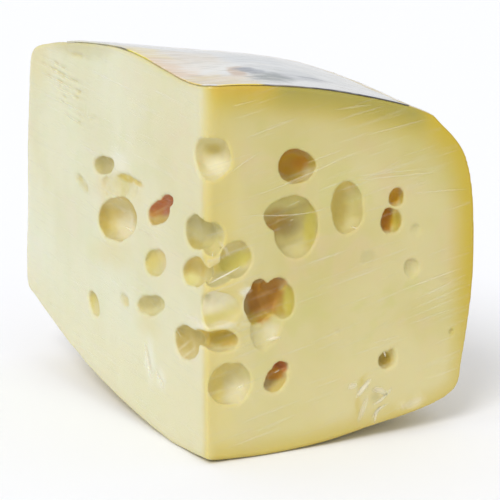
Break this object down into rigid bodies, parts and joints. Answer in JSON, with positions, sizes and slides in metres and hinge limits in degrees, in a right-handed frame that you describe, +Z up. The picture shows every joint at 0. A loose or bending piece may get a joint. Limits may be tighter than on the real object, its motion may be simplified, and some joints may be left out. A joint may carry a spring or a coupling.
{
  "type": "cheese wedge",
  "caption": "Right-angled wedge cut from a domed wheel of eyed cheese, wrapped in clear film, with a round paper label cut off on its crown.",
  "frame": {"origin": "centre of the bounding box's base, on the surface the wedge stands on", "axes": "+Z up; the short cut face is the -Y side along X, the long cut face is the -X side along Y, and the cut corner stands at -X -Y"},
  "size_m": [0.1184, 0.173, 0.1481],
  "materials": {
    "cheese": "semi-hard pale yellow cheese, waxy, deeper yellow towards the rind, under tight clear film",
    "label_paper": "thin silvery printed paper, slightly creased"
  },
  "bodies": {
    "root": {"cheese": "cheese", "label": "label_paper"}
  },
  "joints": []
}
